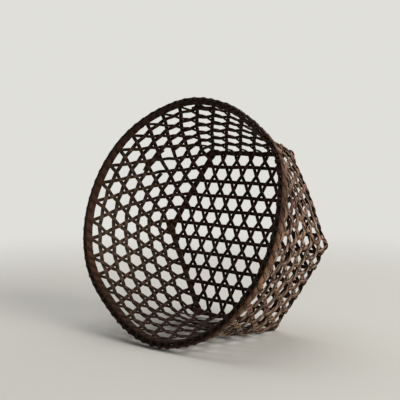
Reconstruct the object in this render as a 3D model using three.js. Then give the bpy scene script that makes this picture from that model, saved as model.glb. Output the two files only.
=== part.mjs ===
import * as THREE from 'three';

// A cheese basket of open hexagonal plait, lying on its side with its mouth towards -Y.
// Thirty-six splints cross the base in three directions and run up the walls as diagonals.
// Six wall hoops lock the diagonals, and two rim bands, lashed together, clamp the splint ends.

// Driving dimensions, in millimetres unless the name says otherwise
const BASE_SIDE_OPENINGS = 6;
const WALL_HOOPS = 6;
const CROSSING_PITCH = 11.7;
const SPLINT_WIDTH = 3.6;
const SPLINT_THICKNESS = 0.5;
const CROSSING_GAP = 0.5;
const BASE_EDGE_SPREAD = 0.2;
const LOW_ROW_SPREAD = 0.9;
const LOW_ROWS = 4;
const FOLD_GAP = 1.15;
const FOLD_MARGIN = 0.6;
const CORNER_GAP = 1.45;
const CORNER_REACH = 3;
const CORNER_ROUND_ROWS = 0.75;
const CORNER_ROUND_SLOTS = 2;
const RIM_RADIUS = 150;
const RIM_HEIGHT = 145;
const RIM_SLUMP = 15;
const RIM_TILT_DEGREES = 7.8;
const BAND_HEIGHT = 10;
const BAND_THICKNESS = 2.2;
const BAND_SEAT_GAP = 0.65;
const BAND_FACETS = 45;
const SPLINT_END_COVER = 1;
const LASHING_WIDTH = 4;
const LASHING_THICKNESS = 0.7;
const LASHING_GAP = 0.65;
const LASHING_LENGTHS = 6;
const LASHING_CORNER_SWAY = 0.08;
const LASHING_TAIL = 6.5;

// Colours of the aged splints, the bent bands and the lashing
const SPLINT_COLOUR = 0x5b3d26;
const HOOP_COLOUR = 0x573922;
const BAND_COLOUR = 0x4b2c1b;
const LASHING_COLOUR = 0x5d3c28;
const WOOD_ROUGHNESS = 0.72;
const WOOD_METALNESS = 0;

// Counts that follow from the plait
const SIDES = 6;
const DIRECTIONS = SIDES / 2;
const LINES = 2 * BASE_SIDE_OPENINGS;
const EDGE_STEPS = LINES - 1;
const WALL_SLOTS = SIDES * LINES;
const RIM_EDGE_ROW = WALL_HOOPS + 0.5;
const HALF_ROW = 0.5;

// Lengths and angles that follow from the driving dimensions
const TURN = 2 * Math.PI;
const SIXTH = TURN / SIDES;
const BASE_RADIUS = EDGE_STEPS * CROSSING_PITCH;
const BASE_APOTHEM = BASE_RADIUS * Math.cos(SIXTH / 2);
const LINE_SPACING = BASE_APOTHEM * 2 / EDGE_STEPS;
const CROSSING_REACH = SPLINT_WIDTH * Math.cos(SIXTH / 2);
const CROSSING_LIFT = (SPLINT_THICKNESS + CROSSING_GAP) / (2 - 4 * CROSSING_REACH / CROSSING_PITCH);
const STANDING_LIFT = CROSSING_LIFT + BASE_EDGE_SPREAD;
const FOLD_LIFT = (SPLINT_THICKNESS + FOLD_GAP) / 2;
const CORNER_LIFT = (SPLINT_THICKNESS + CORNER_GAP) / 2;
const RIM_LEAN = Math.atan2(RIM_RADIUS - (BASE_RADIUS + BASE_APOTHEM) / 2, RIM_HEIGHT);
const ROW_HEIGHT = (RIM_HEIGHT - BAND_HEIGHT / 2) / RIM_EDGE_ROW;
const SPLINT_END_HEIGHT = BAND_HEIGHT / 2 - SPLINT_END_COVER;
const SPLINT_END_ROW = RIM_EDGE_ROW + (SPLINT_END_HEIGHT + BAND_HEIGHT / 2) / ROW_HEIGHT;
const BAND_OFFSET = CROSSING_LIFT + (SPLINT_THICKNESS + BAND_THICKNESS) / 2 + BAND_SEAT_GAP;
const LASHING_STANDOFF = LASHING_GAP + LASHING_THICKNESS / 2;
const LASHING_HALF_DEPTH = BAND_OFFSET + BAND_THICKNESS / 2 + LASHING_STANDOFF;
const LASHING_HALF_HEIGHT = BAND_HEIGHT / 2 + LASHING_STANDOFF;
const OUT_OF_BASE = new THREE.Vector3(0, 0, -1);

// The rim has slumped off the base's axis and leans, so it has a frame of its own
const rim = new THREE.Group();
rim.position.set(0, RIM_SLUMP, RIM_HEIGHT);
rim.rotation.x = -THREE.MathUtils.degToRad(RIM_TILT_DEGREES);
rim.updateMatrix();

function polar(radius, angle, height) {
  return new THREE.Vector3(radius * Math.cos(angle), radius * Math.sin(angle), height);
}

function baseCorner(index) {
  return polar(BASE_RADIUS, index * SIXTH, 0);
}

// Point on the edge of the hexagonal base, by its share of a full turn
function basePoint(turn) {
  const side = Math.floor(turn * SIDES);
  return baseCorner(side).lerp(baseCorner(side + 1), turn * SIDES - side);
}

// Point between the rim bands, by its height above the rim's middle
function rimPoint(turn, height) {
  const radius = RIM_RADIUS + height * Math.tan(RIM_LEAN);
  return polar(radius, turn * TURN, height).applyMatrix4(rim.matrix);
}

function rimNormal(turn) {
  return polar(Math.cos(RIM_LEAN), turn * TURN, -Math.sin(RIM_LEAN)).transformDirection(rim.matrix);
}

// The base's edge with its corners rounded, by the mean of points some slots to each side
function roundedPoint(turn) {
  const mean = new THREE.Vector3();
  for (let slot = -CORNER_ROUND_SLOTS; slot <= CORNER_ROUND_SLOTS; slot += 1) {
    mean.add(basePoint(turn + slot / WALL_SLOTS));
  }
  return mean.divideScalar(2 * CORNER_ROUND_SLOTS + 1);
}

// The wall runs straight up to the rim's lower edge, and its corners round off in the first rows
function wallPoint(turn, row) {
  const foot = basePoint(turn).lerp(roundedPoint(turn), Math.min(row / CORNER_ROUND_ROWS, 1));
  return foot.lerp(rimPoint(turn, -BAND_HEIGHT / 2), row / RIM_EDGE_ROW);
}

// Splints cross further apart in the low rows, where the wall bends most
function wallLift(row) {
  return CROSSING_LIFT + LOW_ROW_SPREAD * Math.max(0, 1 - row / LOW_ROWS);
}

function wallNormal(turn, row) {
  const step = HALF_ROW / WALL_SLOTS;
  const around = wallPoint(turn + step, row).sub(wallPoint(turn - step, row));
  const upward = wallPoint(turn, row + HALF_ROW).sub(wallPoint(turn, row - HALF_ROW));
  return around.cross(upward).normalize();
}

// A station is one cross-section of a splint: lift is its signed distance out of the surface
function station(place, normal, lift, fold = {}) {
  return { centre: place.clone().addScaledVector(normal, lift), normal, ...fold };
}

// The bevel where a splint turns from the base up the wall, wide enough for the edge splint
function bevelAt(turn, side) {
  const edge = basePoint(turn);
  const along = baseCorner(side + 1).sub(baseCorner(side)).normalize();
  const inward = new THREE.Vector3(-along.y, along.x, 0);
  const rise = wallPoint(turn, HALF_ROW).sub(edge);
  const upward = rise.addScaledVector(along, -rise.dot(along)).normalize();
  const normal = inward.clone().add(upward).normalize().negate();
  const halfAngle = inward.angleTo(upward) / 2;
  const reach = (SPLINT_WIDTH / 2 + FOLD_MARGIN) / Math.sin(halfAngle);
  const middle = edge.clone().addScaledVector(normal, -reach * Math.cos(halfAngle));
  const stretch = 1 / Math.cos((Math.PI / 2 - halfAngle) / 2);
  const outOfWall = along.clone().cross(upward);
  return { edge, along, normal, reach, middle, stretch, outOfWall };
}

// A crease across a splint that runs along heading, on the bevel's edge next to a flat face
function creaseStation(bevel, heading, faceNormal, side) {
  const slant = heading.clone().cross(bevel.along).length() / heading.length();
  const place = bevel.edge.clone().addScaledVector(heading, bevel.reach / (slant * heading.length()));
  const normal = bevel.normal.clone().add(faceNormal).normalize();
  const halfWidth = SPLINT_WIDTH / 2 / slant;
  const crease = bevel.along.clone().multiplyScalar(halfWidth);
  return station(place, normal, side * FOLD_LIFT * bevel.stretch, { crease, stretch: bevel.stretch });
}

// The flat where two edge splints cross at a corner of the base, seen by the one that goes on to next
function cornerStations(corner, side, next) {
  const before = bevelAt(corner / SIDES, corner - 1);
  const after = bevelAt(corner / SIDES, corner);
  const middle = before.middle.clone().lerp(after.middle, 0.5);
  const normal = before.normal.clone().add(after.normal).normalize();
  const edgeSide = side < 0 ? corner : corner - 1;
  const last = bevelAt((corner - side / EDGE_STEPS) / SIDES, edgeSide).middle;
  const along = next.clone().sub(last).projectOnPlane(normal).normalize();
  const crease = normal.clone().cross(along).multiplyScalar(SPLINT_WIDTH / 2);
  return [-CORNER_REACH, CORNER_REACH].map((reach) => (
    station(middle.clone().addScaledVector(along, reach), normal, side * CORNER_LIFT, { crease })
  ));
}

// One end of a splint, from the base's edge to the rim. The heading counts sixths of a turn.
function splintEnd(heading, line) {
  const leansBack = line >= BASE_SIDE_OPENINGS;
  const wall = leansBack ? heading : heading - 1;
  const place = leansBack ? 2 * line - EDGE_STEPS : 2 * line;
  const lean = leansBack ? -1 : 1;
  const slotTurn = (row) => (LINES * wall + place + lean * row + HALF_ROW) / WALL_SLOTS;
  const edgeTurn = (row) => (EDGE_STEPS * wall + place + lean * row) / (SIDES * EDGE_STEPS);
  const firstTurn = (slotTurn(HALF_ROW) + edgeTurn(HALF_ROW)) / 2;
  const firstPlace = wallPoint(firstTurn, HALF_ROW);
  const stations = [];
  if (line === 0 || line === EDGE_STEPS) {
    stations.push(...cornerStations(leansBack ? wall + 1 : wall, lean, firstPlace));
  } else {
    const bevel = bevelAt(edgeTurn(0), wall);
    const inward = polar(-1, heading * SIXTH, 0);
    const upward = firstPlace.clone().sub(bevel.edge);
    stations.push(creaseStation(bevel, inward, OUT_OF_BASE, lean));
    stations.push(creaseStation(bevel, upward, bevel.outOfWall, lean));
  }
  for (let row = HALF_ROW; row < RIM_EDGE_ROW; row += HALF_ROW) {
    const turn = row === HALF_ROW ? firstTurn : slotTurn(row);
    const side = Number.isInteger(row) ? lean : -lean;
    stations.push(station(wallPoint(turn, row), wallNormal(turn, row), side * wallLift(row)));
  }
  for (const [row, height] of [[RIM_EDGE_ROW, -BAND_HEIGHT / 2], [SPLINT_END_ROW, SPLINT_END_HEIGHT]]) {
    const turn = slotTurn(row);
    stations.push(station(rimPoint(turn, height), rimNormal(turn), -lean * CROSSING_LIFT));
  }
  return stations;
}

// The part of a splint that crosses the base. Splints on the base's edge lie on the bevel.
// Upright, the base stands on its crossings next to the edge and on flats round its middle opening.
function baseRun(direction, line) {
  const along = polar(1, direction * SIXTH, 0);
  const across = new THREE.Vector3(-along.y, along.x, 0);
  const offset = (line - EDGE_STEPS / 2) * LINE_SPACING;
  const steps = 2 * EDGE_STEPS - Math.abs(2 * line - EDGE_STEPS);
  const firstSide = line >= BASE_SIDE_OPENINGS ? 1 : -1;
  const onEdge = line === 0 || line === EDGE_STEPS;
  const edgeSide = line === 0 ? direction - 2 : direction + 1;
  const stations = [];
  for (let step = 1; step < steps; step += 1) {
    const side = step % 2 === 0 ? firstSide : -firstSide;
    const place = across.clone().multiplyScalar(offset);
    place.addScaledVector(along, (step - steps / 2) * CROSSING_PITCH);
    if (onEdge) {
      const share = place.distanceTo(baseCorner(edgeSide)) / BASE_RADIUS;
      const bevel = bevelAt((edgeSide + share) / SIDES, edgeSide);
      stations.push(station(bevel.middle, bevel.normal, side * FOLD_LIFT));
    } else if (side > 0 && place.length() < LINE_SPACING) {
      for (const end of [-SPLINT_WIDTH / 2, SPLINT_WIDTH / 2]) {
        stations.push(station(place.clone().addScaledVector(along, end), OUT_OF_BASE, STANDING_LIFT));
      }
    } else {
      const nextToEdge = step === 1 || step === steps - 1;
      stations.push(station(place, OUT_OF_BASE, side * (nextToEdge ? STANDING_LIFT : CROSSING_LIFT)));
    }
  }
  return stations;
}

function splintStations(direction, line) {
  const start = splintEnd(direction + DIRECTIONS, EDGE_STEPS - line).reverse();
  return [...start, ...baseRun(direction, line), ...splintEnd(direction, line)];
}

// A wall hoop passes outside the splints that lean back and inside the others
function hoopStations(row) {
  const stations = [];
  for (let slot = 0; slot < WALL_SLOTS; slot += 1) {
    const turn = (slot + HALF_ROW) / WALL_SLOTS;
    const side = (slot + row) % 2 === 0 ? -1 : 1;
    stations.push(station(wallPoint(turn, row), wallNormal(turn, row), side * wallLift(row)));
  }
  return stations;
}

// The four corners of a rectangular section at each station
function sectionCorners(stations, width, thickness, closed) {
  const last = stations.length - 1;
  return stations.map(({ centre, normal, crease, stretch = 1 }, index) => {
    const before = stations[closed && index === 0 ? last : Math.max(index - 1, 0)].centre;
    const after = stations[closed && index === last ? 0 : Math.min(index + 1, last)].centre;
    const tangent = after.clone().sub(before).normalize();
    const square = normal.clone().cross(tangent).normalize();
    const out = tangent.clone().cross(square).multiplyScalar(thickness / 2 * stretch);
    if (crease) {
      const sense = Math.sign(crease.dot(square));
      square.copy(crease).multiplyScalar(sense);
      out.copy(normal).multiplyScalar(thickness / 2 * stretch);
    } else {
      square.multiplyScalar(width / 2);
    }
    return [[1, 1], [-1, 1], [-1, -1], [1, -1]].map(([acrossSign, outSign]) => (
      centre.clone().addScaledVector(square, acrossSign).addScaledVector(out, outSign)
    ));
  });
}

// A closed strip of rectangular section through the stations, with square ends unless it is a hoop
function stripGeometry(stations, width, thickness, closed = false) {
  const rings = sectionCorners(stations, width, thickness, closed);
  const corners = rings[0].length;
  const index = [];
  const joints = closed ? rings.length : rings.length - 1;
  for (let ring = 0; ring < joints; ring += 1) {
    const here = ring * corners;
    const next = ((ring + 1) % rings.length) * corners;
    for (let corner = 0; corner < corners; corner += 1) {
      const beside = (corner + 1) % corners;
      index.push(here + corner, here + beside, next + beside);
      index.push(here + corner, next + beside, next + corner);
    }
  }
  if (!closed) {
    const end = (rings.length - 1) * corners;
    index.push(0, 3, 2, 0, 2, 1);
    index.push(end, end + 1, end + 2, end, end + 2, end + 3);
  }
  const geometry = new THREE.BufferGeometry().setFromPoints(rings.flat());
  geometry.setIndex(index);
  geometry.computeVertexNormals();
  return geometry;
}

// A bent rim band of leaning rectangular section. Side is 1 outside the splints and -1 inside.
function bandGeometry(side) {
  const profile = [[1, -1], [1, 1], [-1, 1], [-1, -1], [1, -1]].map(([outSign, upSign]) => {
    const out = side * BAND_OFFSET + outSign * BAND_THICKNESS / 2;
    const up = upSign * BAND_HEIGHT / 2;
    return new THREE.Vector2(
      RIM_RADIUS + out * Math.cos(RIM_LEAN) + up * Math.sin(RIM_LEAN),
      up * Math.cos(RIM_LEAN) - out * Math.sin(RIM_LEAN),
    );
  });
  return new THREE.LatheGeometry(profile, BAND_FACETS);
}

// Point of the lashing round the rim, by its place out of and up along the leaning bands
function lashingStation(slot, out, up) {
  const angle = slot / WALL_SLOTS * TURN;
  const radius = RIM_RADIUS + out * Math.cos(RIM_LEAN) + up * Math.sin(RIM_LEAN);
  const place = polar(radius, angle, up * Math.cos(RIM_LEAN) - out * Math.sin(RIM_LEAN));
  const outSign = Math.sign(out);
  const upSign = Math.abs(up) < LASHING_HALF_HEIGHT ? 0 : Math.sign(up);
  const normal = polar(outSign * Math.cos(RIM_LEAN) + upSign * Math.sin(RIM_LEAN), angle,
    upSign * Math.cos(RIM_LEAN) - outSign * Math.sin(RIM_LEAN));
  const crease = polar(LASHING_WIDTH / 2, angle + Math.PI / 2, 0);
  return station(place, normal.normalize(), 0, { crease, stretch: upSign === 0 ? 1 : Math.SQRT2 });
}

// One length of lashing: each wrap goes up outside, over the top, down inside and back below
function lashingStations(length) {
  const wraps = WALL_SLOTS / LASHING_LENGTHS;
  const stations = [];
  const first = length * wraps + HALF_ROW;
  for (let slot = first; slot < first + wraps; slot += 1) {
    const top = slot + HALF_ROW;
    stations.push(lashingStation(slot - LASHING_CORNER_SWAY, -LASHING_HALF_DEPTH, -LASHING_HALF_HEIGHT));
    stations.push(lashingStation(slot + LASHING_CORNER_SWAY, LASHING_HALF_DEPTH, -LASHING_HALF_HEIGHT));
    stations.push(lashingStation(top - LASHING_CORNER_SWAY, LASHING_HALF_DEPTH, LASHING_HALF_HEIGHT));
    stations.push(lashingStation(top + LASHING_CORNER_SWAY, -LASHING_HALF_DEPTH, LASHING_HALF_HEIGHT));
  }
  const tail = LASHING_TAIL / (2 * LASHING_HALF_HEIGHT);
  const tailSlot = first + wraps - HALF_ROW + LASHING_CORNER_SWAY;
  const tailSway = tail * (HALF_ROW - 2 * LASHING_CORNER_SWAY);
  stations.push(lashingStation(tailSlot + tailSway, -LASHING_HALF_DEPTH, LASHING_HALF_HEIGHT - LASHING_TAIL));
  return stations;
}

// Least distance between stretches of one lashing that aren't next to each other
function leastGapToItself(stations) {
  const rings = sectionCorners(stations, LASHING_WIDTH, LASHING_THICKNESS, false);
  const samples = 8;
  const stretches = rings.slice(1).map((ring, index) => ring.flatMap((corner, place) => (
    Array.from({ length: samples + 1 }, (_, sample) => (
      rings[index][place].clone().lerp(corner, sample / samples)
    ))
  )));
  let least = Infinity;
  stretches.forEach((stretch, index) => {
    for (const other of stretches.slice(index + 2)) {
      for (const point of stretch) {
        for (const far of other) {
          least = Math.min(least, point.distanceTo(far));
        }
      }
    }
  });
  return least;
}

function addPiece(group, name, geometry, color) {
  const material = new THREE.MeshStandardMaterial({
    color,
    roughness: WOOD_ROUGHNESS,
    metalness: WOOD_METALNESS,
  });
  const mesh = new THREE.Mesh(geometry, material);
  mesh.name = name;
  group.add(mesh);
  return mesh;
}

// The basket standing on its base, with the base's middle layer at height 0
const basket = new THREE.Group();
basket.add(rim);

for (let direction = 0; direction < DIRECTIONS; direction += 1) {
  for (let line = 0; line < LINES; line += 1) {
    const name = `splint_${'abc'[direction]}_${String(line + 1).padStart(2, '0')}`;
    const geometry = stripGeometry(splintStations(direction, line), SPLINT_WIDTH, SPLINT_THICKNESS);
    addPiece(basket, name, geometry, SPLINT_COLOUR);
  }
}

for (let row = 1; row <= WALL_HOOPS; row += 1) {
  const geometry = stripGeometry(hoopStations(row), SPLINT_WIDTH, SPLINT_THICKNESS, true);
  addPiece(basket, `wall_hoop_${row}`, geometry, HOOP_COLOUR);
}

for (const [name, side] of [['rim_outer_band', 1], ['rim_inner_band', -1]]) {
  addPiece(rim, name, bandGeometry(side), BAND_COLOUR).rotation.x = Math.PI / 2;
}

for (let length = 0; length < LASHING_LENGTHS; length += 1) {
  const stations = lashingStations(length);
  const geometry = stripGeometry(stations, LASHING_WIDTH, LASHING_THICKNESS);
  addPiece(rim, `rim_lashing_${length + 1}`, geometry, LASHING_COLOUR);
  console.log(`rim_lashing_${length + 1} least gap to itself ${leastGapToItself(stations).toFixed(2)} mm`);
}

// The lowest point of the basket's base half or rim half when it is turned onto its side
function lowestPoint(turned, rimHalf) {
  const point = new THREE.Vector3();
  const lowest = new THREE.Vector3();
  let least = Infinity;
  basket.updateMatrixWorld(true);
  basket.traverse((piece) => {
    const places = piece.geometry?.attributes.position;
    for (let index = 0; places && index < places.count; index += 1) {
      point.fromBufferAttribute(places, index).applyMatrix4(piece.matrixWorld);
      const height = point.y * Math.sin(turned) + point.z * Math.cos(turned);
      if ((point.z > RIM_HEIGHT / 2) === rimHalf && height < least) {
        least = height;
        lowest.copy(point);
      }
    }
  });
  return lowest;
}

// The turn that brings the rim and the base's edge down onto one level surface
function lyingTurn() {
  let turned = Math.PI / 2;
  for (let pass = 0; pass < 3; pass += 1) {
    const onBase = lowestPoint(turned, false);
    const onRim = lowestPoint(turned, true);
    turned = Math.atan2(onRim.z - onBase.z, onBase.y - onRim.y);
  }
  return turned;
}

const cheeseBasket = new THREE.Group();
cheeseBasket.add(basket);
basket.rotation.x = lyingTurn();
const box = new THREE.Box3().setFromObject(cheeseBasket, true);
basket.position.set(-(box.min.x + box.max.x) / 2, -(box.min.y + box.max.y) / 2, -box.min.z);

export default cheeseBasket;
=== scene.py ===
import math
import random

import bpy
import numpy as np
from mathutils import Matrix, Vector, noise


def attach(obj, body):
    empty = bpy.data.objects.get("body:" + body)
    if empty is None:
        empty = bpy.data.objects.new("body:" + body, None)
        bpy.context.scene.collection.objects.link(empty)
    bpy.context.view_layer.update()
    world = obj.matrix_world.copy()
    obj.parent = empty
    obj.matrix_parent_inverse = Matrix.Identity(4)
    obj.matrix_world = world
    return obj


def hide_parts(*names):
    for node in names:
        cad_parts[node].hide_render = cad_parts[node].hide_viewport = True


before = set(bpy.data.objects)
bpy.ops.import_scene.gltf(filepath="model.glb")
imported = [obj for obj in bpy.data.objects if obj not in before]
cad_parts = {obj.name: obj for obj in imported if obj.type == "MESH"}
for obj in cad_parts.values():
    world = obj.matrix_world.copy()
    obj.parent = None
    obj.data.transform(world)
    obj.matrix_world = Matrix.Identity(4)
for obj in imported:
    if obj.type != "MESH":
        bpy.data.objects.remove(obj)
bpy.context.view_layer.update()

# The plait: counts, then lengths in millimetres in the standing basket's frame.
# The base's middle layer is at height 0 and the mouth is up.
SIDES = 6
DIRECTIONS = 3
LINES = 12
STEPS = LINES - 1
SLOTS = SIDES * LINES
HALF_SLOT = 0.5
HOOPS = 6
HALF_ROW = 0.5
RIM_ROW = HOOPS + HALF_ROW
PITCH = 11.7
TURN = 2 * math.pi
SIXTH = TURN / SIDES
BASE_RADIUS = STEPS * PITCH
BASE_APOTHEM = BASE_RADIUS * math.cos(SIXTH / 2)
LINE_SPACING = 2 * BASE_APOTHEM / STEPS

# Splints and hoops
SPLINT_WIDTH = 4.9
SPLINT_THICKNESS = 1.4
HOOP_WIDTH = 6.0
EDGE_WIDTH_SHARE = 1.5
CORNER_WIDTH_SHARE = 2.0
WEAVE_LIFT = 0.85
FOLD_LIFT = 0.8
FOLD_REACH = 3.0
CORNER_REACH = 3.0
CORNER_ROUND_ROWS = 4.5
CORNER_ROUND_SLOTS = 2
# The hoops are beaten together towards this row
BEATEN_ROW = 3.4
BEATEN_SHARE = 0.945
# First and last slot of each hoop. Its ends lap over each other, and the third one's have sprung apart.
HOOP_SPANS = [(7.4, 82.2), (50.6, 125.3), (29.1, 97.9), (26.4, 101.6), (63.5, 138.4), (16.7, 91.5)]
LAP_LIFT = 1.25
LAP_SHIFT = 0.11
LAP_SLOTS = 3

# The rim: two bands that lean as the wall does
RIM_RADIUS = 150
RIM_HEIGHT = 145
RIM_SLUMP = 15
RIM_TILT = math.radians(7.8)
RIM_LEAN = math.atan2(RIM_RADIUS - (BASE_RADIUS + BASE_APOTHEM) / 2, RIM_HEIGHT)
BAND_HEIGHT = 10.6
BAND_THICKNESS = 4.1
BAND_OUTER_FACE = 4.5
BAND_OFFSET = BAND_OUTER_FACE - BAND_THICKNESS / 2
BAND_CLOSING = 2 * (BAND_OUTER_FACE - BAND_THICKNESS) / BAND_HEIGHT
BAND_RINGS = 300
# Where each band's lap ends and how long it is, in turns, then how it is skived and lapped
OUTER_JOINT = 0.61
INNER_JOINT = 0.142
BAND_LAP = 0.085
SKIVED_SHARE = 0.18
BAND_LAP_OVER = 0.75
BAND_LAP_UNDER = 0.3
# The bands wave up and down a little, by a ring of noise
BAND_SWAY = 0.5
BAND_SWAY_RADIUS = 2.4
BAND_SWAY_LAYER = 3.1
# Places on the rim, as a turn and a reach: rubbed by hands, worn thin, and swollen at the splice
RUBBED_PLACES = [(0.975, 0.115), (0.1, 0.03)]
LEAST_RUB = 0.1
WORN_PLACE = (0.28, 0.2)
WORN_SHARE = 0.2
SPLICE_PLACE = (0.65, 0.085)
SPLICE_GAIN = 0.3
# The pared ends of the splints between the bands
SPLINT_END_UP = 4
PARED_LIFT = 0.2
PARED_SHARE = 0.33

# The lashing. Where its bends lie beside a wrap's foot or top, and how these sway, are in slots.
LASHING_WIDTH = 4.4
LASHING_THICKNESS = 0.5
LASHING_LENGTHS = 6
LASHING_ROUND = 2.0
LASHING_OUTER_SHARE = 1.5
LASHING_UNEVEN = (0.55, 1.2)
BEND_FAR = 0.1
BEND_NEAR = 0.06
BEND_SLOPE = 0.4
FOOT_SWAY = 0.1
TOP_SWAY = 0.08

# How far the old plait has crept out of true
SLACK = 1.4
SLACK_SPREAD = 32
SLACK_SEED = 12
# Where it has been pushed out of round: centre, push and reach
PUSHES = [
    (Vector((66, 114, 24)), Vector((1.5, 1.5, 0)), 48),
    (Vector((80, 125, 68)), Vector((-1.0, -5.5, 0)), 30),
    (Vector((68, 120, 22)), Vector((1.0, 3.0, 0)), 24),
    (Vector((116, 110, 138)), Vector((1.6, 2.2, 0)), 32),
    (Vector((74, -113, 68)), Vector((1.0, -6.5, 0)), 42),
    (Vector((98, 56, 2)), Vector((4.5, 2.0, 0)), 46),
    (Vector((128, 90, 136)), Vector((5.0, 0, -4.0)), 46),
    (Vector((10, 163, 125)), Vector((0, 0, -8.0)), 80),
    (Vector((40, -128, 165)), Vector((0, -2.5, 0)), 45),
    (Vector((88, -106, 160)), Vector((0, -4.5, 0)), 40),
    (Vector((94, -68, 2)), Vector((6.5, -1.5, 0)), 56),
    (Vector((-86, -106, 160)), Vector((4.0, 3.4, -2.8)), 55),
    (Vector((135, 0, 24)), Vector((0, 0, -6.0)), 24),
    (Vector((36, -124, 42)), Vector((0, -5.0, 0)), 42),
    (Vector((-34, -118, 26)), Vector((0, -6.5, 0)), 34),
    (Vector((60, -116, 20)), Vector((0, -3.5, 0)), 24),
    (Vector((10, -150, 140)), Vector((0, -4.0, 0)), 48),
    (Vector((-18, 165, 128)), Vector((0, 2.6, 0)), 38),
    (Vector((6, 132, 42)), Vector((0, 2.2, 0)), 58),
    (Vector((120, -26, 8)), Vector((2.8, -1.2, -2.2)), 21),
]
# Where the strands are fullest: centre, reach and gain in width
FULL_PLACE = Vector((88, -94, 60))
FULL_REACH = 58
FULL_GAIN = 0.32
# Where the wall near the mouth is painted lighter, as if lit through the mouth: centre and reach
PAINTED_LIGHT_PLACE = Vector((-145, -10, 105))
PAINTED_LIGHT_REACH = 125

# The basket lies on its side: a turn about X, then a shift
LYING_TURN = math.radians(80.912)
LYING_SHIFT = Vector((0, 86.3716, 111.8632))
METRE = 0.001

RIM_FRAME = Matrix.Translation((0, RIM_SLUMP, RIM_HEIGHT)) @ Matrix.Rotation(-RIM_TILT, 4, "X")
LYING = Matrix.Scale(METRE, 4) @ Matrix.Translation(LYING_SHIFT) @ Matrix.Rotation(LYING_TURN, 4, "X")
OUT_OF_BASE = Vector((0, 0, -1))
# The creep's noise takes its place from this seed, so that it is the same each time
noise.seed_set(SLACK_SEED)

# Columns of a station on a run.
# The rubbed side is 1 outside and -1 inside, and nearer 0 where it is rubbed less.
CENTRE = slice(0, 3)
NORMAL = slice(3, 6)
RUBBED_SIDE = 6
WIDTH_SHARE = 7
THICKNESS_SHARE = 8

# Sections of the pieces, as shares of half the width and half the thickness, from edge to edge
SPLINT_SECTION = [
    (-1, -0.1), (-0.97, 0.35), (-0.84, 0.72), (-0.48, 0.94), (0, 1), (0.48, 0.94), (0.84, 0.72),
    (0.97, 0.35), (1, -0.1), (0.93, -0.62), (0.7, -0.88), (0, -0.94), (-0.7, -0.88), (-0.93, -0.62),
]
BAND_SECTION = [
    (-1, 0), (-0.985, 0.4), (-0.93, 0.66), (-0.75, 0.86), (-0.4, 0.97), (0, 1), (0.4, 0.97), (0.75, 0.86),
    (0.93, 0.66), (0.985, 0.4), (1, 0), (0.95, -0.5), (0.84, -0.8), (0.68, -0.97), (0, -1),
    (-0.86, -0.92), (-0.97, -0.6),
]
# Spacing of the rings along splints and hoops and along the lashing
STRAND_SPACING = 2.4
LASHING_SPACING = 1.6
LEAST_RINGS = 2
# A strip's width wanders along it. Its edge marks start at a share of half the width: paler split edges
# with a painted highlight on splints and hoops, painted shade along the edges of the bands and lashing.
WIDTH_WANDER = 0.07
WANDER_SPREAD = 38
WANDER_LAYER = 0.37
EDGE_LIGHT_AND_SHADE_FROM = 0.7
EDGE_LIGHT_AND_SHADE_REACH = 0.27
# Seeds of each piece's wander and grain, and how they shift the grain along and across
SPLINT_SEED = 3
DIRECTION_SEED_STEP = 7.3
LINE_SEED_STEP = 1.7
HOOP_SEED = 40.5
HOOP_SEED_STEP = 2.3
BAND_SEED = 61.2
BAND_SEED_STEP = 5
LASHING_SEED = 80.7
LASHING_SEED_STEP = 3.1
GRAIN_SEED_WRAP = (97, 89)
GRAIN_SHIFT = (0.131, 0.017)


def polar(radius, angle, height=0.0):
    return Vector((radius * math.cos(angle), radius * math.sin(angle), height))


def base_corner(index):
    return polar(BASE_RADIUS, index * SIXTH)


def base_point(turn):
    """A point on the hexagonal base's edge, by its share of a full turn."""
    side = math.floor(turn * SIDES)
    return base_corner(side).lerp(base_corner(side + 1), turn * SIDES - side)


def rounded_point(turn):
    """The base's edge with its corners rounded off, as the wall has them above the fold."""
    reach = range(-CORNER_ROUND_SLOTS, CORNER_ROUND_SLOTS + 1)
    return sum((base_point(turn + slot / SLOTS) for slot in reach), Vector()) / len(reach)


def rim_point(turn, out, up):
    """A point at the rim, by its place out of and up along the leaning bands."""
    radius = RIM_RADIUS + out * math.cos(RIM_LEAN) + up * math.sin(RIM_LEAN)
    height = up * math.cos(RIM_LEAN) - out * math.sin(RIM_LEAN)
    return RIM_FRAME @ polar(radius, turn * TURN, height)


def rim_direction(turn, out, up):
    """A direction at the rim, by its share out of and up along the leaning bands."""
    outward = out * math.cos(RIM_LEAN) + up * math.sin(RIM_LEAN)
    upward = up * math.cos(RIM_LEAN) - out * math.sin(RIM_LEAN)
    return (RIM_FRAME.to_3x3() @ polar(outward, turn * TURN, upward)).normalized()


def wall_point(turn, row):
    foot = base_point(turn).lerp(rounded_point(turn), min(row / CORNER_ROUND_ROWS, 1))
    return foot.lerp(rim_point(turn, 0, -BAND_HEIGHT / 2), row / RIM_ROW)


def wall_normal(turn, row):
    step = HALF_SLOT / SLOTS
    around = wall_point(turn + step, row) - wall_point(turn - step, row)
    upward = wall_point(turn, row + HALF_ROW) - wall_point(turn, row - HALF_ROW)
    return around.cross(upward).normalized()


def beaten(row):
    return BEATEN_ROW + (row - BEATEN_ROW) * BEATEN_SHARE


def nearness(place, centre, reach):
    """1 at a centre, easing to 0 away from it."""
    return math.exp(-(place - centre).length_squared / reach**2)


def pushed(place):
    return place + sum((push * nearness(place, centre, reach) for centre, push, reach in PUSHES), Vector())


def station(place, normal, side, lift, width=1.0, thickness=1.0):
    """A crossing on a run: its settled centre, outward normal, the side it lies on and shares of size."""
    creep = noise.noise_vector(place / SLACK_SPREAD) * SLACK
    creep -= normal * creep.dot(normal)
    fuller = 1 + FULL_GAIN * nearness(place, FULL_PLACE, FULL_REACH)
    centre = pushed(place) + creep + normal * (side * lift)
    return (*centre, *normal, side, width * fuller, thickness)


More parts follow.
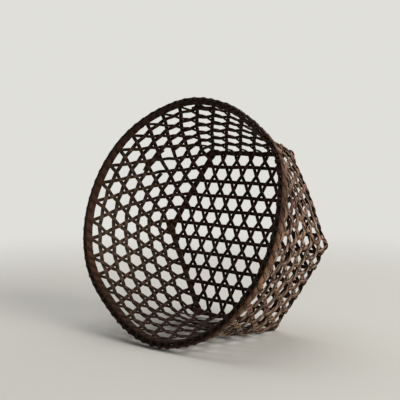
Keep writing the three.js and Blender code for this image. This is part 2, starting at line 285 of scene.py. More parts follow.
def fold_at(turn, side):
    """The soft bevel where splints turn from the base up the wall and the edge splint lies."""
    edge = base_point(turn)
    along = (base_corner(side + 1) - base_corner(side)).normalized()
    inward = Vector((-along.y, along.x, 0))
    rise = wall_point(turn, HALF_ROW) - edge
    upward = (rise - along * rise.dot(along)).normalized()
    normal = -(inward + upward).normalized()
    half_angle = inward.angle(upward) / 2
    reach = FOLD_REACH / math.sin(half_angle)
    return {
        "edge": edge,
        "along": along,
        "normal": normal,
        "reach": reach,
        "middle": edge - normal * (reach * math.cos(half_angle)),
        "out_of_wall": along.cross(upward),
    }


def fold_station(fold, heading, face_normal, side):
    slant = heading.cross(fold["along"]).length / heading.length
    place = fold["edge"] + heading.normalized() * (fold["reach"] / slant)
    normal = (fold["normal"] + face_normal).normalized()
    return station(place, normal, side, FOLD_LIFT)


def corner_stations(corner, side, onward):
    """The flat where two edge splints cross at a corner of the base."""
    before = fold_at(corner / SIDES, corner - 1)
    after = fold_at(corner / SIDES, corner)
    middle = (before["middle"] + after["middle"]) / 2
    normal = (before["normal"] + after["normal"]).normalized()
    edge_side = corner if side < 0 else corner - 1
    last = fold_at((corner - side / STEPS) / SIDES, edge_side)["middle"]
    along = onward - last
    along = (along - normal * along.dot(normal)).normalized()
    return [
        station(middle + along * reach, normal, side, FOLD_LIFT, CORNER_WIDTH_SHARE)
        for reach in (-CORNER_REACH, CORNER_REACH)
    ]


def splint_end(heading, line):
    """One end of a splint, from the base's edge up the wall to the rim."""
    leans_back = line >= LINES // 2
    wall = heading if leans_back else heading - 1
    place = 2 * line - STEPS if leans_back else 2 * line
    lean = -1 if leans_back else 1

    def slot_turn(row):
        return (LINES * wall + place + lean * row + HALF_SLOT) / SLOTS

    def edge_turn(row):
        return (STEPS * wall + place + lean * row) / (SIDES * STEPS)

    first_turn = (slot_turn(HALF_ROW) + edge_turn(HALF_ROW)) / 2
    first_place = wall_point(first_turn, beaten(HALF_ROW))
    if line in (0, STEPS):
        run = corner_stations(wall + 1 if leans_back else wall, lean, first_place)
    else:
        fold = fold_at(edge_turn(0), wall)
        run = [
            fold_station(fold, polar(-1, heading * SIXTH), OUT_OF_BASE, lean),
            fold_station(fold, first_place - fold["edge"], fold["out_of_wall"], lean),
        ]
    for half_row in range(1, 2 * HOOPS + 1):
        row = half_row / 2
        turn = first_turn if half_row == 1 else slot_turn(row)
        side = lean if half_row % 2 == 0 else -lean
        run.append(station(wall_point(turn, beaten(row)), wall_normal(turn, row), side, WEAVE_LIFT))
    row_height = (RIM_HEIGHT - BAND_HEIGHT / 2) / RIM_ROW
    for up in (-BAND_HEIGHT / 2, SPLINT_END_UP):
        turn = slot_turn(RIM_ROW + (up + BAND_HEIGHT / 2) / row_height)
        normal = rim_direction(turn, 1, 0)
        run.append(station(rim_point(turn, 0, up), normal, -lean, PARED_LIFT, thickness=PARED_SHARE))
    return run


def base_run(direction, line):
    """The part of a splint that crosses the base. Edge splints lie on the bevel."""
    along = polar(1, direction * SIXTH)
    across = Vector((-along.y, along.x, 0))
    steps = 2 * STEPS - abs(2 * line - STEPS)
    first_side = 1 if line >= LINES // 2 else -1
    edge_side = direction - 2 if line == 0 else direction + 1
    run = []
    for step in range(1, steps):
        side = first_side if step % 2 == 0 else -first_side
        place = across * ((line - STEPS / 2) * LINE_SPACING) + along * ((step - steps / 2) * PITCH)
        if line in (0, STEPS):
            share = (place - base_corner(edge_side)).length / BASE_RADIUS
            fold = fold_at((edge_side + share) / SIDES, edge_side)
            run.append(station(fold["middle"], fold["normal"], side, FOLD_LIFT, EDGE_WIDTH_SHARE))
        else:
            run.append(station(place, OUT_OF_BASE, side, WEAVE_LIFT))
    return run


def splint_run(direction, line):
    start = splint_end(direction + DIRECTIONS, STEPS - line)[::-1]
    return start + base_run(direction, line) + splint_end(direction, line)


def hoop_run(row, start, end):
    """A wall hoop, outside the splints that lean back and inside the others."""
    run = []
    for slot in [start, *range(math.floor(start) + 1, math.ceil(end)), end]:
        turn = (slot + HALF_SLOT) / SLOTS
        side = -1 if (round(slot) + row) % 2 == 0 else 1
        lapped = min(max(0, slot - start - SLOTS), 1)
        aside = max(0, LAP_SLOTS + slot - end) - max(0, LAP_SLOTS + start - slot)
        normal = wall_normal(turn, row)
        place = wall_point(turn, beaten(row) + LAP_SHIFT * aside / LAP_SLOTS) + normal * (LAP_LIFT * lapped)
        run.append(station(place, normal, side, WEAVE_LIFT))
    return run


def smooth_run(run, spacing):
    """Even, bending steps through the stations of a run, with the same columns."""
    knots = np.array(run, float)
    knots = np.vstack([2 * knots[0] - knots[1], knots, 2 * knots[-1] - knots[-2]])
    reach = np.linalg.norm(np.diff(knots[:, CENTRE], axis=0), axis=1)
    slope = np.diff(knots, axis=0) / reach[:, None]
    before, after = reach[:-1, None], reach[1:, None]
    tangent = (slope[:-1] * after + slope[1:] * before) / (before + after)
    rows = []
    for span in range(len(knots) - 3):
        start, end = knots[span + 1], knots[span + 2]
        length = reach[span + 1]
        count = max(LEAST_RINGS, round(length / spacing))
        t = (np.arange(count) / count)[:, None]
        leaving = (t**3 - 2 * t**2 + t) * length * tangent[span]
        arriving = (t**3 - t**2) * length * tangent[span + 1]
        rows.append((2 * t**3 - 3 * t**2 + 1) * start + leaving + (3 * t**2 - 2 * t**3) * end + arriving)
    rows.append(knots[-2:-1])
    return np.vstack(rows)


def unit(rows):
    return rows / np.linalg.norm(rows, axis=1, keepdims=True)


def lengths_along(points):
    steps = np.linalg.norm(np.diff(points, axis=0), axis=1)
    return np.concatenate([[0], np.cumsum(steps)])


def wander(lengths, seed):
    """A slow seeded wander along a piece, from about -1 to 1."""
    places = [Vector((length / WANDER_SPREAD, seed, WANDER_LAYER)) for length in lengths]
    return np.array([noise.noise(place) for place in places])


def strip_points(rows, profile, width, thickness, seed):
    """The rings of a strip along its run, in the standing basket."""
    centres = rows[:, CENTRE]
    tangents = unit(np.gradient(centres, axis=0))
    across = unit(np.cross(rows[:, NORMAL], tangents))
    outward = np.cross(tangents, across)
    wavy = 1 + WIDTH_WANDER * wander(lengths_along(centres), seed)
    half_width = width / 2 * rows[:, WIDTH_SHARE] * wavy
    half_thickness = thickness / 2 * rows[:, THICKNESS_SHARE]
    points = (
        centres[:, None]
        + across[:, None] * (half_width[:, None] * profile[:, 0])[:, :, None]
        + outward[:, None] * (half_thickness[:, None] * profile[:, 1])[:, :, None]
    )
    return points.reshape(-1, 3)


def strip_faces(rings, corners):
    """Faces from ring to ring, then the strip's two ends."""
    faces = []
    for ring in range(rings - 1):
        here, beyond = ring * corners, (ring + 1) * corners
        for corner in range(corners):
            beside = (corner + 1) % corners
            faces.append((here + corner, beyond + corner, beyond + beside, here + beside))
    last = (rings - 1) * corners
    faces.append(tuple(range(corners)))
    faces.append(tuple(reversed(range(last, last + corners))))
    return faces


def lay_grain(mesh, lengths, girth, seed):
    """Lays the grain lengthwise, in metres along and round the strip, with a shift of its own."""
    corners = len(girth) - 1
    coordinates = np.zeros((len(mesh.loops), 2))
    spot = 0
    for face in mesh.polygons[: (len(lengths) - 1) * corners]:
        ring, corner = divmod(face.index, corners)
        for at, edge in ((ring, corner), (ring + 1, corner), (ring + 1, corner + 1), (ring, corner + 1)):
            coordinates[spot] = (lengths[at] * METRE, girth[edge] * METRE)
            spot += 1
    coordinates += [seed % wrap * shift for wrap, shift in zip(GRAIN_SEED_WRAP, GRAIN_SHIFT)]
    mesh.uv_layers.new(name="grain").data.foreach_set("uv", coordinates.ravel())


def mark_wear_and_shading(mesh, rows, profile, faded):
    """Marks the strip's own tone, its rubbed crowns, the place painted lighter as if lit, its outer face
    and its edges for painted highlight and shade.
    """
    tone = random.Random(f"{mesh.name} tone").random()
    crown = np.clip(rows[:, RUBBED_SIDE, None] * profile[:, 1], 0, 1)
    split_edge = np.clip((np.abs(profile[:, 0]) - EDGE_LIGHT_AND_SHADE_FROM) / EDGE_LIGHT_AND_SHADE_REACH, 0, 1)
    marks = {
        "piece_tone": np.full(crown.size, tone),
        "crown_rub": crown.ravel(),
        "faded": faded,
        "outer_face": np.tile((profile[:, 1] + 1) / 2, len(rows)),
        "split_edge": np.tile(split_edge, len(rows)),
    }
    for label, values in marks.items():
        mark = mesh.attributes.new(label, "FLOAT", "POINT")
        mark.data.foreach_set("value", values.astype(np.float32))


def strip_piece(name, rows, section, width, thickness, seed):
    """A strip of the given section along a smooth run, lying as the basket does."""
    profile = np.array(section, float)
    points = strip_points(rows, profile, width, thickness, seed)
    # Painted light: the wall near the mouth is lighter, as if lit through the mouth
    faded = np.exp(-((points - np.array(PAINTED_LIGHT_PLACE)) ** 2).sum(axis=1) / PAINTED_LIGHT_REACH**2)
    lying = np.array(LYING)
    points = points @ lying[:3, :3].T + lying[:3, 3]

    mesh = bpy.data.meshes.new(name)
    mesh.from_pydata(points.tolist(), [], strip_faces(len(rows), len(profile)))
    mesh.shade_smooth()
    girth = lengths_along(np.vstack([profile, profile[:1]]) * (width / 2, thickness / 2))
    lay_grain(mesh, lengths_along(rows[:, CENTRE]), girth, seed)
    mark_wear_and_shading(mesh, rows, profile, faded)

    piece = bpy.data.objects.new(name, mesh)
    bpy.context.scene.collection.objects.link(piece)
    return piece


def settle(piece, node, finish):
    """Puts a finished piece in the place of its CAD node."""
    piece.data.materials.append(finish)
    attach(piece, "root")
    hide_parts(node)


# Nodes of the finishes. The mix node's sockets are told by number, because its names repeat.
MIX_SHARE = 0
MIX_FIRST = 6
MIX_SECOND = 7
MIX_RESULT = 2


def add_node(tree, kind, values=(), **settings):
    """A node with its settings and with its inputs set or linked."""
    node = tree.nodes.new(kind)
    for key, value in settings.items():
        setattr(node, key, value)
    for socket, value in dict(values).items():
        if isinstance(value, bpy.types.NodeSocket):
            tree.links.new(value, node.inputs[socket])
        else:
            node.inputs[socket].default_value = value
    return node


def mix_colour(tree, share, first, second, blend):
    values = {MIX_SHARE: share, MIX_FIRST: first, MIX_SECOND: second}
    return add_node(tree, "ShaderNodeMix", values, data_type="RGBA", blend_type=blend).outputs[MIX_RESULT]


def calculate(tree, operation, first, second, clamp=False):
    values = {0: first, 1: second}
    return add_node(tree, "ShaderNodeMath", values, operation=operation, use_clamp=clamp).outputs[0]


def multiply(tree, first, second):
    return calculate(tree, "MULTIPLY", first, second)


def spread(tree, value, low, high, to_low=0.0, to_high=1.0):
    """Spreads the levels from low to high over a new range."""
    values = {"Value": value, "From Min": low, "From Max": high, "To Min": to_low, "To Max": to_high}
    return add_node(tree, "ShaderNodeMapRange", values).outputs["Result"]


def read_mark(tree, name):
    return add_node(tree, "ShaderNodeAttribute", attribute_name=name).outputs["Fac"]


def tone_ramp(tree, value, colours):
    ramp = add_node(tree, "ShaderNodeValToRGB", {"Fac": value})
    stops = ramp.color_ramp.elements
    while len(stops) < len(colours):
        stops.new(1.0)
    for index, colour in enumerate(colours):
        stops[index].position = index / (len(colours) - 1)
        stops[index].color = colour
    return ramp.outputs["Color"]


# Shader groups: effects that several finishes share
def new_group(name, inputs):
    group = bpy.data.node_groups.new(name, "ShaderNodeTree")
    for label, value in inputs.items():
        socket = group.interface.new_socket(label, in_out="INPUT", socket_type="NodeSocketFloat")
        socket.default_value = value
    return group, group.nodes.new("NodeGroupInput").outputs


def put_out(group, values):
    """Gives a group its named outputs."""
    for label in values:
        group.interface.new_socket(label, in_out="OUTPUT", socket_type="NodeSocketFloat")
    result = group.nodes.new("NodeGroupOutput")
    for label, value in values.items():
        group.links.new(value, result.inputs[label])


# Split grain: how fast streaks and drift change beside the fibres, and what makes the relief
STREAKS_ALONG = 0.6
STREAKS_ACROSS = 0.35
DRIFT_ACROSS = 0.05
FIBRE_RELIEF = 0.65
STREAK_RELIEF = 0.35
# Levels of the noise that become 0 and 1
STREAK_LEVELS = (0.36, 0.66)
FIBRE_LEVELS = (0.3, 0.7)
DRIFT_LEVELS = (0.3, 0.7)


def grain_noise(tree, along, across, values):
    place = add_node(tree, "ShaderNodeCombineXYZ", {0: along, 1: across}).outputs[0]
    values = {"Vector": place, **values}
    return add_node(tree, "ShaderNodeTexNoise", values, noise_dimensions="2D").outputs["Fac"]


def split_grain_group():
    """Long fibres and pores of split wood, laid along each piece."""
    group, given = new_group("split_grain", {"Fibre Width": 0.0005, "Fibre Length": 0.02})
    lay = add_node(group, "ShaderNodeUVMap", uv_map="grain").outputs["UV"]
    apart = add_node(group, "ShaderNodeSeparateXYZ", {0: lay})
    along = calculate(group, "DIVIDE", apart.outputs[0], given["Fibre Length"])
    across = calculate(group, "DIVIDE", apart.outputs[1], given["Fibre Width"])
    fibres = grain_noise(group, along, across, {"Scale": 1.0, "Detail": 4.0, "Roughness": 0.6})
    streaks = grain_noise(
        group,
        multiply(group, along, STREAKS_ALONG),
        multiply(group, across, STREAKS_ACROSS),
        {"Scale": 1.0, "Detail": 3.0, "Distortion": 0.3},
    )
    drift = grain_noise(group, along, multiply(group, across, DRIFT_ACROSS), {"Scale": 0.6, "Detail": 2.0})
    fine, broad = multiply(group, fibres, FIBRE_RELIEF), multiply(group, streaks, STREAK_RELIEF)
    put_out(group, {
        "Streaks": spread(group, streaks, *STREAK_LEVELS),
        "Fibres": spread(group, fibres, *FIBRE_LEVELS),
        "Drift": spread(group, drift, *DRIFT_LEVELS),
        "Height": calculate(group, "ADD", fine, broad),
    })
    return group


# Handling and painted shading: scales of the noise, then levels of a mask, and what they become where that
# isn't 0 to 1
PATCH_NOISE = {"Scale": 26.0, "Detail": 4.0}
SPECK_NOISE = {"Scale": 210.0, "Detail": 3.0}
RUBBED_PATCHES = (0.35, 0.65)
RUBBED_STREAKS = (0.0, 1.0, 0.45, 1.0)
# Soot with painted shade in the hollows and where a strand runs under another
SOOT_AND_SHADE_SPECKS = (0.4, 0.62, 0.75, 1.0)
DUSTY_PATCHES = (0.42, 0.7)
# Painted shade on a strand's inner face, eased where the wall near the mouth is painted lighter
INNER_FACE = (0.75, 0.35)
INSIDE_SHADE_EASING = (0.0, 1.0, 1.0, 0.66)
# Painted highlight and shade along the edges, broken up by the drift
EDGE_LIGHT_AND_SHADE_DRIFT = (0.35, 0.65, 0.05, 0.75)


def handling_and_shading_group():
    """Where hands and shelves have rubbed the plait and where soot and dust have settled in it, with
    painted shade in the hollows and on the inner faces, painted light on the wall near the mouth, and
    painted highlight and shade along the edges.
    """
    group, given = new_group("handling", {"Streaks": 0.5, "Drift": 0.5, "Rub Amount": 0.5})
    crown = read_mark(group, "crown_rub")
    outer = read_mark(group, "outer_face")
    faded = read_mark(group, "faded")
    edge = read_mark(group, "split_edge")
    place = add_node(group, "ShaderNodeTexCoord").outputs["Object"]
    patches = add_node(group, "ShaderNodeTexNoise", {"Vector": place, **PATCH_NOISE}).outputs["Fac"]
    specks = add_node(group, "ShaderNodeTexNoise", {"Vector": place, **SPECK_NOISE}).outputs["Fac"]
    rub = multiply(group, crown, spread(group, patches, *RUBBED_PATCHES))
    rub = multiply(group, rub, spread(group, given["Streaks"], *RUBBED_STREAKS))
    hollow = calculate(group, "SUBTRACT", 1.0, crown)
    inner = spread(group, outer, *INNER_FACE)
    put_out(group, {
        "Rubbed": calculate(group, "MULTIPLY", rub, given["Rub Amount"], clamp=True),
        # Soot with painted shade in the hollows; then dust, painted shade on the inner faces eased by the
        # painted light, painted highlight and shade along the edges, and the painted light near the mouth
        "Sooty": multiply(group, hollow, spread(group, specks, *SOOT_AND_SHADE_SPECKS)),
        "Dusty": multiply(group, outer, spread(group, patches, *DUSTY_PATCHES)),
        "Inside": multiply(group, inner, spread(group, faded, *INSIDE_SHADE_EASING)),
        "Edge": multiply(group, edge, spread(group, given["Drift"], *EDGE_LIGHT_AND_SHADE_DRIFT)),
        "Faded": faded,
    })
    return group


SPLIT_GRAIN = split_grain_group()
HANDLING_AND_SHADING = handling_and_shading_group()

# Finishes: shares and colours of the layers, then what makes the surface rough and raised
TONE_SHARE = 0.5
DRIFT_SHARE = 0.5
STREAK_SHARE = 0.42
FIBRE_SHARE = 0.62
DUST_SHARE = 0.2
RUB_SHARE = 1.0
SOOT_AND_SHADE_SHARE = 0.97
EDGE_LIGHT_AND_SHADE_SHARE = 1.0
PAINTED_LIGHT_SHARE = 0.2
PAINTED_INSIDE_SHADE_SHARE = 0.93
FIBRE_SHADE = (0.22, 0.17, 0.15, 1)
# Near-black soot with painted shade in the hollows
SOOT_AND_SHADE_COLOUR = (0.012, 0.008, 0.006, 1)
# Painted shade on the inner faces
PAINTED_INSIDE_SHADE = (0.12, 0.058, 0.034, 1)
FIBRE_ROUGHNESS = (0.0, 1.0, 0.5, 0.72)
RUBBED_POLISH = 0.14
SOOT_AND_SHADE_ROUGHNESS = 0.12
RELIEF_DEPTH = 0.0004
WOOD_SPECULAR = 0.08


def aged_wood_with_painted_shading(name, tones, pale, worn, dust, faded, edge, fibre_width, fibre_length, rub, bump):
    """Smoke-browned split wood, with soot and painted shade in its hollows, painted shade on its inner
    faces, painted light near the mouth and painted highlight and shade along its edges. Each piece has its
    own tone from the given ones.
    """
    finish = bpy.data.materials.new(name)
    finish.use_nodes = True
    tree = finish.node_tree
    shader = tree.nodes["Principled BSDF"]
    fibre_sizes = {"Fibre Width": fibre_width, "Fibre Length": fibre_length}
    grain = add_node(tree, "ShaderNodeGroup", fibre_sizes, node_tree=SPLIT_GRAIN).outputs
    group_inputs = {"Streaks": grain["Streaks"], "Drift": grain["Drift"], "Rub Amount": rub}
    handled_and_shaded = add_node(tree, "ShaderNodeGroup", group_inputs, node_tree=HANDLING_AND_SHADING).outputs

    tone = multiply(tree, read_mark(tree, "piece_tone"), TONE_SHARE)
    tone = calculate(tree, "ADD", tone, multiply(tree, grain["Drift"], DRIFT_SHARE))
    wood = tone_ramp(tree, tone, tones)
    for mask, share, colour, blend in (
        (grain["Streaks"], STREAK_SHARE, pale, "MIX"),
        (grain["Fibres"], FIBRE_SHARE, FIBRE_SHADE, "MULTIPLY"),
        (handled_and_shaded["Dusty"], DUST_SHARE, dust, "MIX"),
        (handled_and_shaded["Rubbed"], RUB_SHARE, worn, "MIX"),
        # Soot with painted shade in the hollows, painted highlight and shade along the edges, painted light
        # near the mouth, painted shade on the inner faces
        (handled_and_shaded["Sooty"], SOOT_AND_SHADE_SHARE, SOOT_AND_SHADE_COLOUR, "MIX"),
        (handled_and_shaded["Edge"], EDGE_LIGHT_AND_SHADE_SHARE, edge, "MIX"),
        (handled_and_shaded["Faded"], PAINTED_LIGHT_SHARE, faded, "MIX"),
        (handled_and_shaded["Inside"], PAINTED_INSIDE_SHADE_SHARE, PAINTED_INSIDE_SHADE, "MULTIPLY"),
    ):
        wood = mix_colour(tree, multiply(tree, mask, share), wood, colour, blend)
    tree.links.new(wood, shader.inputs["Base Color"])

    rough = spread(tree, grain["Fibres"], *FIBRE_ROUGHNESS)
    rough = calculate(tree, "SUBTRACT", rough, multiply(tree, handled_and_shaded["Rubbed"], RUBBED_POLISH))
    rough = calculate(tree, "ADD", rough, multiply(tree, handled_and_shaded["Sooty"], SOOT_AND_SHADE_ROUGHNESS))
    tree.links.new(rough, shader.inputs["Roughness"])
    raised = {"Height": grain["Height"], "Strength": bump, "Distance": RELIEF_DEPTH}
    tree.links.new(add_node(tree, "ShaderNodeBump", raised).outputs["Normal"], shader.inputs["Normal"])
    shader.inputs["Specular IOR Level"].default_value = WOOD_SPECULAR
    return finish


# What splints and hoops have in common. The colour near the mouth is painted light, and the pale edge
# colour is a painted highlight on paler split edges.
STRAND_WEAR_AND_SHADING = {
    "pale": (0.245, 0.132, 0.082, 1),
    "worn": (0.58, 0.37, 0.25, 1),
    "dust": (0.15, 0.097, 0.066, 1),
    "faded": (0.225, 0.195, 0.12, 1),
    "edge": (0.52, 0.35, 0.235, 1),
    "fibre_width": 0.0006,
    "rub": 0.85,
    "bump": 0.75,
}
SPLINT_WOOD = aged_wood_with_painted_shading(
    "smoked_splint",
    tones=[(0.03, 0.01, 0.006, 1), (0.2, 0.14, 0.1, 1), (0.08, 0.026, 0.016, 1), (0.3, 0.1, 0.078, 1)],
    fibre_length=0.024,
    **STRAND_WEAR_AND_SHADING,
)
HOOP_WOOD = aged_wood_with_painted_shading(
    "smoked_hoop",
    tones=[(0.05, 0.018, 0.011, 1), (0.2, 0.14, 0.1, 1), (0.28, 0.095, 0.072, 1)],
    fibre_length=0.027,
    **STRAND_WEAR_AND_SHADING,
)
# On the bands and lashing the edge colour is painted shade along the edges, and the colour near the mouth
# is painted light
OUTER_BAND_WOOD = aged_wood_with_painted_shading(
    "bent_outer_band",
    tones=[(0.024, 0.01, 0.006, 1), (0.1, 0.042, 0.02, 1)],
    pale=(0.17, 0.085, 0.045, 1),
    worn=(0.42, 0.215, 0.118, 1),
    dust=(0.17, 0.11, 0.072, 1),
    faded=(0.12, 0.055, 0.027, 1),
    edge=(0.07, 0.031, 0.016, 1),
    fibre_width=0.0011,
    fibre_length=0.06,
    rub=1.1,
    bump=0.7,
)
INNER_BAND_WOOD = aged_wood_with_painted_shading(
    "bent_inner_band",
    tones=[(0.018, 0.008, 0.005, 1), (0.21, 0.09, 0.05, 1)],
    pale=(0.3, 0.14, 0.085, 1),
    worn=(0.17, 0.08, 0.042, 1),
    dust=(0.1, 0.06, 0.038, 1),
    faded=(0.2, 0.086, 0.046, 1),
    edge=(0.015, 0.007, 0.004, 1),
    fibre_width=0.0011,
    fibre_length=0.06,
    rub=0.6,
    bump=0.7,
)
LASHING_WOOD = aged_wood_with_painted_shading(
    "split_lashing",
    tones=[(0.024, 0.01, 0.005, 1), (0.06, 0.023, 0.011, 1)],
    pale=(0.085, 0.038, 0.019, 1),
    worn=(0.34, 0.17, 0.09, 1),
    dust=(0.11, 0.066, 0.04, 1),
    faded=(0.11, 0.047, 0.022, 1),
    edge=(0.03, 0.013, 0.006, 1),
    fibre_width=0.0007,
    fibre_length=0.02,
    rub=0.9,
    bump=0.55,
)


def plait_splints():
    for direction in range(DIRECTIONS):
        for line in range(LINES):
            label = f"{'abc'[direction]}_{line + 1:02d}"
            rows = smooth_run(splint_run(direction, line), STRAND_SPACING)
            seed = DIRECTION_SEED_STEP * direction + LINE_SEED_STEP * line + SPLINT_SEED
            piece = strip_piece(
                f"plaited_{label}", rows, SPLINT_SECTION, SPLINT_WIDTH, SPLINT_THICKNESS, seed)
            settle(piece, f"splint_{label}", SPLINT_WOOD)


def weave_hoops():
    for row, (start, end) in enumerate(HOOP_SPANS, 1):
        rows = smooth_run(hoop_run(row, start, end), STRAND_SPACING)
        seed = HOOP_SEED + HOOP_SEED_STEP * row
        piece = strip_piece(f"woven_hoop_{row}", rows, SPLINT_SECTION, HOOP_WIDTH, SPLINT_THICKNESS, seed)
        settle(piece, f"wall_hoop_{row}", HOOP_WOOD)


def near_turn(turn, middle, reach):
    """1 at a place on the rim, easing to 0 away from it."""
    away = (turn - middle + 0.5) % 1 - 0.5
    return math.exp(-(away / reach) ** 2)


def rim_rub(turn):
    """How much hands have rubbed the rim."""
    return LEAST_RUB + (1 - LEAST_RUB) * max(near_turn(turn, *place) for place in RUBBED_PLACES)


def rim_size(turn):
    """Shares of the bands' full height and thickness."""
    taller = 1 - WORN_SHARE * near_turn(turn, *WORN_PLACE)
    return taller, taller + SPLICE_GAIN * near_turn(turn, *SPLICE_PLACE)


def rim_place(turn, out, up):
    taller, thicker = rim_size(turn)
    return pushed(rim_point(turn, out * thicker, up * taller))


def band_rows(side, joint):
    """A band bent once round the rim, which laps over its own skived end."""
    rows = []
    for ring in range(BAND_RINGS + 1):
        share = ring / BAND_RINGS
        turn = joint + share * (1 + BAND_LAP) - BAND_LAP
        from_start = share * (1 + BAND_LAP) / BAND_LAP
        from_end = (1 - share) * (1 + BAND_LAP) / BAND_LAP
        skive = min(1, SKIVED_SHARE + (1 - SKIVED_SHARE) * min(from_start, from_end))
        over = max(0, 1 - from_end) * BAND_LAP_OVER - max(0, 1 - from_start) * BAND_LAP_UNDER
        sway = BAND_SWAY * noise.noise(polar(BAND_SWAY_RADIUS, turn * TURN, side * BAND_SWAY_LAYER))
        centre = rim_place(turn, side * (BAND_OFFSET + over), sway)
        taller, thicker = rim_size(turn)
        normal = rim_direction(turn, side, BAND_CLOSING)
        rows.append((*centre, *normal, rim_rub(turn), taller, skive * thicker))
    return np.array(rows, float)


def bend_bands():
    """Two bent bands clamp the splint ends."""
    for label, side, joint, finish in (
        ("outer", 1, OUTER_JOINT, OUTER_BAND_WOOD),
        ("inner", -1, INNER_JOINT, INNER_BAND_WOOD),
    ):
        rows = band_rows(side, joint)
        seed = BAND_SEED + BAND_SEED_STEP * side
        piece = strip_piece(f"bent_rim_{label}", rows, BAND_SECTION, BAND_HEIGHT, BAND_THICKNESS, seed)
        settle(piece, f"rim_{label}_band", finish)


def lashing_station(slot, out, up, out_share, up_share, thickness=1.0):
    """A place on the lashing, facing by the given shares out and up. Only the outside is rubbed."""
    turn = slot / SLOTS
    rub = rim_rub(turn) if out_share == 1 else 0
    return (*rim_place(turn, out, up), *rim_direction(turn, out_share, up_share), rub, 1.0, thickness)


def lashing_run(length):
    """One length of lashing: up outside the bands, over the top, down inside and back below."""
    wraps = SLOTS // LASHING_LENGTHS
    first = length * wraps + HALF_SLOT
    high = BAND_HEIGHT / 2 + LASHING_THICKNESS / 2
    inside = BAND_OUTER_FACE + LASHING_THICKNESS / 2
    ease = LASHING_ROUND
    slope = BEND_SLOPE
    run = []
    chance = random.Random(f"lashing {length}")
    for wrap in range(wraps):
        foot = first + wrap + chance.uniform(-FOOT_SWAY, FOOT_SWAY)
        top = foot + HALF_SLOT + chance.uniform(-TOP_SWAY, TOP_SWAY)
        share = LASHING_OUTER_SHARE * chance.uniform(*LASHING_UNEVEN)
        outside = BAND_OUTER_FACE + LASHING_THICKNESS * share / 2
        run += [
            lashing_station(foot - BEND_FAR, -inside, -high + ease, -1, -slope),
            lashing_station(foot - BEND_NEAR, -inside + ease, -high, -slope, -1),
            lashing_station(foot + BEND_NEAR, outside - ease, -high, slope, -1),
            lashing_station(foot + BEND_FAR, outside, -high + ease, 1, -slope, share),
            lashing_station((foot + top) / 2, outside, 0, 1, 0, share),
            lashing_station(top - BEND_FAR, outside, high - ease, 1, slope, share),
            lashing_station(top - BEND_NEAR, outside - ease, high, slope, 1),
            lashing_station(top + BEND_NEAR, -inside + ease, high, -slope, 1),
            lashing_station(top + BEND_FAR, -inside, high - ease, -1, slope),
            lashing_station((top + foot + 1) / 2, -inside, 0, -1, 0),
        ]
    return run


def lash_rim():
    for length in range(LASHING_LENGTHS):
        rows = smooth_run(lashing_run(length), LASHING_SPACING)
        seed = LASHING_SEED + LASHING_SEED_STEP * length
        piece = strip_piece(
            f"rim_wrap_{length + 1}", rows, SPLINT_SECTION, LASHING_WIDTH, LASHING_THICKNESS, seed)
        settle(piece, f"rim_lashing_{length + 1}", LASHING_WOOD)


plait_splints()
weave_hoops()
bend_bands()
lash_rim()

# Stage: a pale floor that fades out round the basket, soft light and the camera
FLOOR_RADIUS = 1.0
FLOOR_LEVEL = -0.0055
FLOOR_RINGS = 24
FLOOR_SPOKES = 96
FLOOR_FADE_FROM = 0.4
FLOOR_COLOUR = (0.69, 0.675, 0.628, 1)
FLOOR_ROUGHNESS = 0.9
FLOOR_SPECULAR = 0.2
BACKDROP_COLOUR = (0.745, 0.74, 0.705, 1)
FILL_COLOUR = (1, 0.99, 0.97, 1)
FILL_STRENGTH = 0.1
LAMP_AIM = Vector((0, 0, 0.15))
KEY_PLACE = Vector((3.1, -0.1, 1.6))
KEY_SIZE = 2.6
KEY_POWER = 112
KEY_COLOUR = (1, 0.985, 0.96)
SKY_PLACE = Vector((-0.55, 0.5, 1.8))
SKY_SIZE = 2.4
SKY_POWER = 23
SKY_COLOUR = (1, 1, 1)
CAMERA_PLACE = Vector((0.74889, -0.94075, 0.29807))
CAMERA_AIM = Vector((0.00224, -0.01024, 0.169))
CAMERA_ROLL = math.radians(-0.177)
CAMERA_LENS = 85
CAMERA_SENSOR = 36


def floor_mesh():
    """A disc of rings and spokes."""
    points = [(0, 0, FLOOR_LEVEL)]
    for ring in range(1, FLOOR_RINGS + 1):
        for spoke in range(FLOOR_SPOKES):
            reach, angle = FLOOR_RADIUS * ring / FLOOR_RINGS, TURN * spoke / FLOOR_SPOKES
            points.append(tuple(polar(reach, angle, FLOOR_LEVEL)))
    faces = []
    for spoke in range(FLOOR_SPOKES):
        faces.append((0, 1 + spoke, 1 + (spoke + 1) % FLOOR_SPOKES))
    for ring in range(FLOOR_RINGS - 1):
        first = 1 + ring * FLOOR_SPOKES
        for spoke in range(FLOOR_SPOKES):
            here, beside = first + spoke, first + (spoke + 1) % FLOOR_SPOKES
            faces.append((here, here + FLOOR_SPOKES, beside + FLOOR_SPOKES, beside))
    mesh = bpy.data.meshes.new("pale_floor")
    mesh.from_pydata(points, [], faces)
    return mesh


def floor_finish():
    """A plain pale finish that fades out towards the edge."""
    finish = bpy.data.materials.new("pale_floor")
    finish.use_nodes = True
    tree = finish.node_tree
    shader = tree.nodes["Principled BSDF"]
    shader.inputs["Base Color"].default_value = FLOOR_COLOUR
    shader.inputs["Roughness"].default_value = FLOOR_ROUGHNESS
    shader.inputs["Specular IOR Level"].default_value = FLOOR_SPECULAR
    place = add_node(tree, "ShaderNodeTexCoord").outputs["Object"]
    reach = add_node(tree, "ShaderNodeVectorMath", {0: place}, operation="LENGTH").outputs["Value"]
    fade_from = FLOOR_RADIUS * FLOOR_FADE_FROM
    levels = {"From Min": fade_from, "From Max": FLOOR_RADIUS, "To Min": 1.0, "To Max": 0.0}
    fade = add_node(tree, "ShaderNodeMapRange", {"Value": reach, **levels}, interpolation_type="SMOOTHSTEP")
    tree.links.new(fade.outputs["Result"], shader.inputs["Alpha"])
    return finish


def lay_floor():
    floor = bpy.data.objects.new("pale_floor", floor_mesh())
    floor.data.materials.append(floor_finish())
    bpy.context.scene.collection.objects.link(floor)


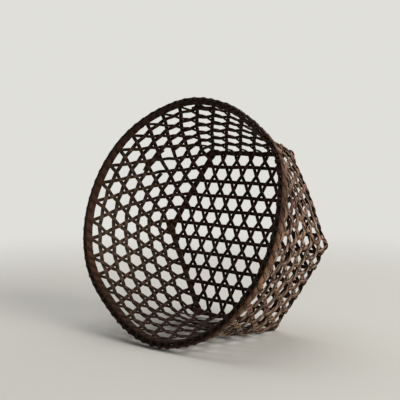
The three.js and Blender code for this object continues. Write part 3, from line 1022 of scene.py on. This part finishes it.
def light_backdrop():
    """A soft fill on the basket, and a brighter plain backdrop where it is looked at."""
    world = bpy.data.worlds.new("studio")
    world.use_nodes = True
    tree = world.node_tree
    fill = tree.nodes["Background"]
    fill.inputs["Color"].default_value = FILL_COLOUR
    fill.inputs["Strength"].default_value = FILL_STRENGTH
    seen = add_node(tree, "ShaderNodeBackground", {"Color": BACKDROP_COLOUR, "Strength": 1.0})
    path = add_node(tree, "ShaderNodeLightPath").outputs
    looked_at = calculate(tree, "MAXIMUM", path["Is Camera Ray"], path["Is Transmission Ray"])
    looked_at = calculate(tree, "MAXIMUM", looked_at, path["Is Glossy Ray"])
    choice = add_node(tree, "ShaderNodeMixShader", {0: looked_at, 1: fill.outputs[0], 2: seen.outputs[0]})
    tree.links.new(choice.outputs[0], tree.nodes["World Output"].inputs["Surface"])
    bpy.context.scene.world = world


def hang_light(name, place, size, power, colour):
    lamp = bpy.data.lights.new(name, "AREA")
    lamp.shape = "DISK"
    lamp.size = size
    lamp.energy = power
    lamp.color = colour
    holder = bpy.data.objects.new(name, lamp)
    holder.location = place
    holder.rotation_mode = "QUATERNION"
    holder.rotation_quaternion = (LAMP_AIM - place).to_track_quat("-Z", "Y")
    bpy.context.scene.collection.objects.link(holder)


def set_camera():
    lens = bpy.data.cameras.new("viewpoint")
    lens.lens = CAMERA_LENS
    lens.sensor_width = CAMERA_SENSOR
    viewpoint = bpy.data.objects.new("viewpoint", lens)
    facing = (CAMERA_AIM - CAMERA_PLACE).to_track_quat("-Z", "Y").to_matrix()
    turn = facing @ Matrix.Rotation(CAMERA_ROLL, 3, "Z")
    viewpoint.matrix_world = Matrix.Translation(CAMERA_PLACE) @ turn.to_4x4()
    bpy.context.scene.collection.objects.link(viewpoint)
    bpy.context.scene.camera = viewpoint


lay_floor()
light_backdrop()
hang_light("side_window", KEY_PLACE, KEY_SIZE, KEY_POWER, KEY_COLOUR)
hang_light("ceiling_bounce", SKY_PLACE, SKY_SIZE, SKY_POWER, SKY_COLOUR)
set_camera()
bpy.context.scene.view_settings.view_transform = "Standard"
